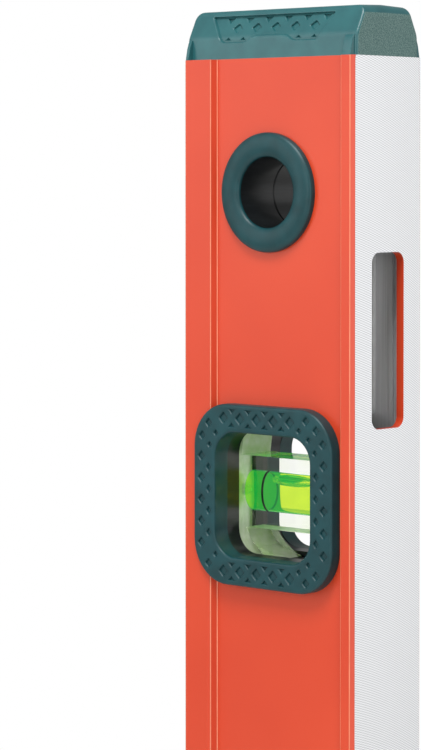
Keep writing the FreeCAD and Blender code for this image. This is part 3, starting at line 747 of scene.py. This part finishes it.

# Moulded acrylic away from the faces that are looked through: frosted, and tinted green as painted light
# from the spirit's glow.
frosted, tree, place, shader = new_finish("frosted acrylic", Roughness=0.45,
                                          Transmission_Weight=0.35, IOR=1.49)
cloud = add_node(tree, "TexNoise", {"Vector": place, "Scale": 1 / 3.0, "Detail": 4.0}).outputs["Fac"]
blend = add_node(tree, "MapRange", {"Value": cloud, "From Min": 0.3, "From Max": 0.7})
shade = add_node(tree, "MixRGB", {"Fac": blend.outputs["Result"], "Color1": linear("#CFE4AE"),
                                  "Color2": linear("#F0F7E2")})
tree.links.new(shade.outputs["Color"], shader.inputs["Base Color"])
bump = add_node(tree, "Bump", {"Height": cloud, "Strength": 0.2, "Distance": 0.1 * MM})
tree.links.new(bump.outputs["Normal"], shader.inputs["Normal"])

# Dyed spirit: a clear liquid whose fluorescent dye glows yellow-green, a glow painted in as emission. Its
# IOR is set against the acrylic.
spirit, tree, place, shader = new_finish("dyed spirit with painted glow", Roughness=0.0,
                                         Transmission_Weight=1.0, IOR=0.96)
depth = add_node(tree, "TexNoise", {"Vector": place, "Scale": 1 / 7.0, "Detail": 1.0}).outputs["Fac"]
blend = add_node(tree, "MapRange", {"Value": depth, "From Min": 0.35, "From Max": 0.65})
shade = add_node(tree, "MixRGB", {"Fac": blend.outputs["Result"], "Color1": linear("#CDB812"),
                                  "Color2": linear("#D8C41C")})
tree.links.new(shade.outputs["Color"], shader.inputs["Base Color"])
# Painted light: the spirit's glow, an emission that shines whatever the lamps.
shader.inputs["Emission Color"].default_value = linear("#08A04A")
shader.inputs["Emission Strength"].default_value = 0.6

# Air in the spirit: clear, with a bright outline from total reflection. Its IOR is set against the spirit.
air, tree, place, shader = new_finish("air in spirit", Roughness=0.0, Transmission_Weight=1.0, IOR=0.74)
tint = add_node(tree, "TexNoise", {"Vector": place, "Scale": 1 / 5.0}).outputs["Fac"]
blend = add_node(tree, "MapRange", {"Value": tint, "From Min": 0.3, "From Max": 0.7})
shade = add_node(tree, "MixRGB", {"Fac": blend.outputs["Result"], "Color1": linear("#F2FBD8"),
                                  "Color2": linear("#FFFFFF")})
tree.links.new(shade.outputs["Color"], shader.inputs["Base Color"])

# Printed ink line: matt and dense.
ink, tree, place, shader = new_finish("black marking ink", Roughness=0.6)
cover = add_node(tree, "TexNoise", {"Vector": place, "Scale": 1 / 0.5}).outputs["Fac"]
blend = add_node(tree, "MapRange", {"Value": cover, "From Min": 0.3, "From Max": 0.7})
shade = add_node(tree, "MixRGB", {"Fac": blend.outputs["Result"], "Color1": linear("#060807"),
                                  "Color2": linear("#101311")})
tree.links.new(shade.outputs["Color"], shader.inputs["Base Color"])

# White plug: matt moulded nylon, slightly cloudy.
nylon, tree, place, shader = new_finish("white nylon", Roughness=0.45,
                                        Subsurface_Weight=0.2, Subsurface_Scale=0.001)
cloud = add_node(tree, "TexNoise", {"Vector": place, "Scale": 1 / 1.5, "Detail": 3.0}).outputs["Fac"]
blend = add_node(tree, "MapRange", {"Value": cloud, "From Min": 0.3, "From Max": 0.7})
shade = add_node(tree, "MixRGB", {"Fac": blend.outputs["Result"], "Color1": linear("#E8E8E4"),
                                  "Color2": linear("#F8F8F5")})
tree.links.new(shade.outputs["Color"], shader.inputs["Base Color"])


def dress(node, finish):
    """Gives a CAD piece its finish."""
    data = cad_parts[node].data
    data.materials.clear()
    data.materials.append(finish)


def lie_along(mesh, axis):
    """Turns a shape made about Z to lie along the vial."""
    if axis == "X":
        bmesh.ops.rotate(mesh, matrix=Matrix.Rotation(math.pi / 2, 3, "Y"), verts=mesh.verts)


def make_block(node, axis, centre):
    """The block without its bore: the spirit's own surface stands for the bore's wall."""
    mesh = merged_copy(node)
    bmesh.ops.translate(mesh, vec=-centre, verts=mesh.verts)
    across = "z" if axis == "X" else "x"
    bore = {vert for vert in mesh.verts
            if math.hypot(vert.co.y, getattr(vert.co, across)) < BORE_RADIUS + LINE_GROOVE}
    bore_faces = [face for face in mesh.faces if bore.issuperset(face.verts)]
    bmesh.ops.delete(mesh, geom=bore_faces, context="FACES")
    bmesh.ops.holes_fill(mesh, edges=[edge for edge in mesh.edges if edge.is_boundary], sides=0)
    bmesh.ops.recalc_face_normals(mesh, faces=mesh.faces)
    sharp = [edge for edge in mesh.edges if edge.is_manifold and edge.calc_face_angle() > math.radians(40)]
    soften(mesh, sharp, BLOCK_EDGE, 2)
    for face in mesh.faces:
        if abs(face.normal.y) < 0.5 and getattr(face.normal, across) < 0.5:
            face.material_index = 1
    bmesh.ops.translate(mesh, vec=centre, verts=mesh.verts)
    return mesh


for vial in ("upper", "centre", "lower"):
    low, high = (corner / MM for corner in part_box(f"{vial}_vial_liquid"))
    centre = (low + high) / 2
    axis = "X" if high.x - low.x > high.z - low.z else "Z"
    bore_length = max(high - low)
    block = make_block(f"{vial}_vial_block", axis, centre)
    finish_piece(block, f"{vial}_vial_clear_block", [acrylic, frosted], "level",
                 [f"{vial}_vial_block"])

    liquid = bmesh.new()
    bmesh.ops.create_cone(liquid, cap_ends=True, segments=96, radius1=BORE_RADIUS, radius2=BORE_RADIUS,
                          depth=bore_length)
    rims = [edge for edge in liquid.edges if edge.calc_face_angle() > math.radians(60)]
    soften(liquid, rims, BORE_END, 5)
    lie_along(liquid, axis)
    bmesh.ops.translate(liquid, vec=centre, verts=liquid.verts)
    finish_piece(liquid, f"{vial}_vial_spirit", [spirit], "level", [f"{vial}_vial_liquid"])

    low, high = (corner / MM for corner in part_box(f"{vial}_vial_bubble"))
    place_at = (low + high) / 2
    half = (high - low) / 2
    bubble = bmesh.new()
    bmesh.ops.create_uvsphere(bubble, u_segments=48, v_segments=24, radius=1)
    if axis == "X":
        roof_up = Vector((0, 0, 1))
    else:
        roof_up = Vector((1, 0, 0))
    for vert in bubble.verts:
        plump = [math.copysign(abs(part) ** BUBBLE_PLUMPNESS, part) for part in vert.co]
        vert.co = Vector([part * reach for part, reach in zip(plump, half)]) + place_at
    for vert in bubble.verts:
        rise = (vert.co - centre).dot(roof_up)
        roof = math.sqrt(max((BORE_RADIUS - ROOF_GAP) ** 2 - vert.co.y ** 2, 0))
        if rise > roof:
            vert.co -= roof_up * (rise - roof)
    finish_piece(bubble, f"{vial}_vial_air", [air], f"{vial}_bubble", [f"{vial}_vial_bubble"])

    low, high = (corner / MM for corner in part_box(f"{vial}_vial_reading_lines"))
    pitch = max(high - low) - LINE_WIDTH
    lines = bmesh.new()
    for side in (-1, 1):
        made = bmesh.ops.create_cone(lines, cap_ends=False, segments=96, radius1=BORE_RADIUS + 0.05,
                                     radius2=BORE_RADIUS + 0.05, depth=LINE_WIDTH)
        bmesh.ops.translate(lines, vec=(0, 0, side * pitch / 2), verts=made["verts"])
    bmesh.ops.solidify(lines, geom=lines.faces[:], thickness=0.2)
    bmesh.ops.recalc_face_normals(lines, faces=lines.faces)
    lie_along(lines, axis)
    bmesh.ops.translate(lines, vec=centre, verts=lines.verts)
    finish_piece(lines, f"{vial}_vial_lines", [ink], "level", [f"{vial}_vial_reading_lines"])

    dress(f"{vial}_vial_filler_plug", nylon)
    for side in ("front", "rear"):
        dress(f"{vial}_vial_{side}_housing", black)


# ---- Mirror ----
# A glass mirror on a grey moulded holder inside the tube, at 45 degrees behind the upper slot, so that the
# vial below it can be read from the slot face.

# Silvered glass: bright, with a trace of dust.
silver, tree, place, shader = new_finish("silvered glass", Metallic=1.0)
dust = add_node(tree, "TexNoise", {"Vector": place, "Scale": 1 / 2.0, "Detail": 5.0}).outputs["Fac"]
blend = add_node(tree, "MapRange", {"Value": dust, "From Min": 0.3, "From Max": 0.8})
shade = add_node(tree, "MixRGB", {"Fac": blend.outputs["Result"], "Color1": linear("#E8ECEC"),
                                  "Color2": linear("#F6F8F8")})
tree.links.new(shade.outputs["Color"], shader.inputs["Base Color"])
film = add_node(tree, "MapRange", {"Value": dust, "To Min": 0.02, "To Max": 0.08}).outputs["Result"]
tree.links.new(film, shader.inputs["Roughness"])

# Light grey ABS: satin, lightly textured.
grey, tree, place, shader = new_finish("light grey ABS", Roughness=0.4)
tone = add_node(tree, "TexNoise", {"Vector": place, "Scale": 1 / 4.0, "Detail": 3.0}).outputs["Fac"]
blend = add_node(tree, "MapRange", {"Value": tone, "From Min": 0.3, "From Max": 0.7})
shade = add_node(tree, "MixRGB", {"Fac": blend.outputs["Result"], "Color1": linear("#C9CBCB"),
                                  "Color2": linear("#D6D8D8")})
tree.links.new(shade.outputs["Color"], shader.inputs["Base Color"])
bump = add_node(tree, "Bump", {"Height": tone, "Strength": 0.1, "Distance": 0.1 * MM})
tree.links.new(bump.outputs["Normal"], shader.inputs["Normal"])

dress("mirror", silver)
dress("mirror_holder", grey)
